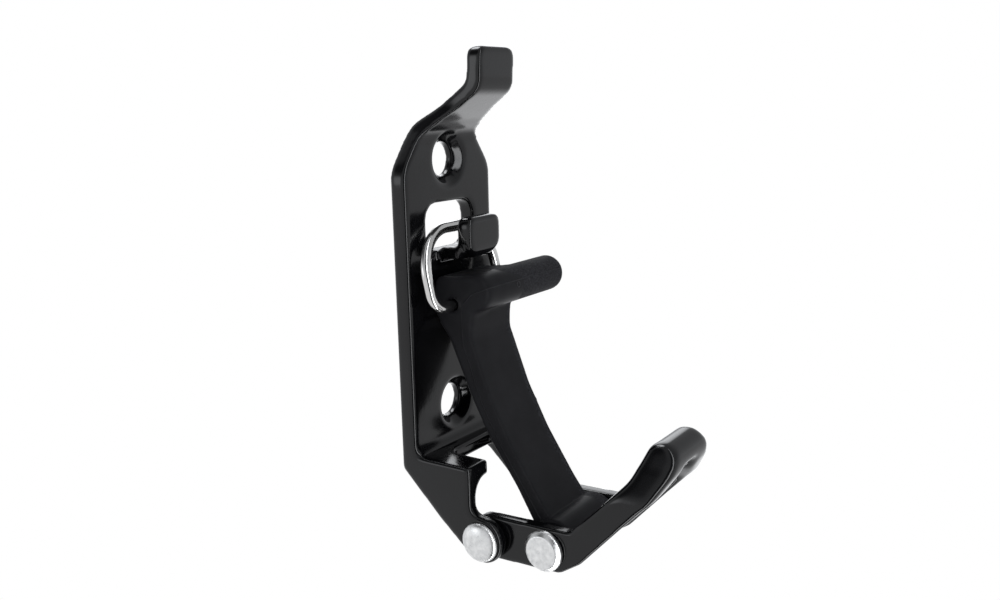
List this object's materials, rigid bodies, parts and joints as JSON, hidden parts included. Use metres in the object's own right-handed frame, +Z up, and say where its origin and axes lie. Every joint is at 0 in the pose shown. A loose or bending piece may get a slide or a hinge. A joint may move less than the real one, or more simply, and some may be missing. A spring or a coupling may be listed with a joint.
{
  "type": "bicycle wall rack",
  "caption": "Wall bracket with a forked hook lever for a bicycle and a rubber draw strap whose wire ring hooks over the bracket's tongue.",
  "frame": {"origin": "on the wall face of the plate, on its centre line, midway between the two screw holes", "axes": "+X to the right seen from the front, +Y into the wall (the front faces -Y), +Z up along the plate"},
  "size_m": [0.0534, 0.0794, 0.139],
  "materials": {
    "bracket_coat": "gloss",
    "lever_coat": "gloss",
    "rivet_zinc": "bright zinc",
    "strap_rubber": "satin",
    "ring_steel": "polished"
  },
  "bodies": {
    "bracket": {"wall_bracket": "bracket_coat", "lever_rivet_left": "rivet_zinc", "lever_rivet_right": "rivet_zinc"},
    "lever": {"hook_lever": "lever_coat", "strap_rivet": "rivet_zinc", "strap_rivet_washer": "rivet_zinc", "strap_sleeve": "rivet_zinc"},
    "strap_foot_body": {"strap_foot": "strap_rubber"},
    "strap_head_body": {"strap_head": "strap_rubber"},
    "ring": {"d_ring": "ring_steel"}
  },
  "joints": [
    {"name": "lever_pivot", "type": "hinge", "parent": "bracket", "child": "lever", "pos_m": [0, -0.0268, -0.067], "axis": [1, 0, 0], "range_deg": [0, 115]},
    {"name": "strap_pivot", "type": "hinge", "parent": "lever", "child": "strap_foot_body", "pos_m": [0, -0.0452, -0.0663], "axis": [1, 0, 0], "range_deg": [0, 50]},
    {"name": "strap_stretch", "type": "slide", "parent": "strap_foot_body", "child": "strap_head_body", "axis": [0, 0, 1], "range_m": [0, 0.003]},
    {"name": "ring_swing", "type": "hinge", "parent": "strap_head_body", "child": "ring", "pos_m": [0, -0.01195, -0.0041], "axis": [1, 0, 0], "range_deg": [0, 9]}
  ]
}
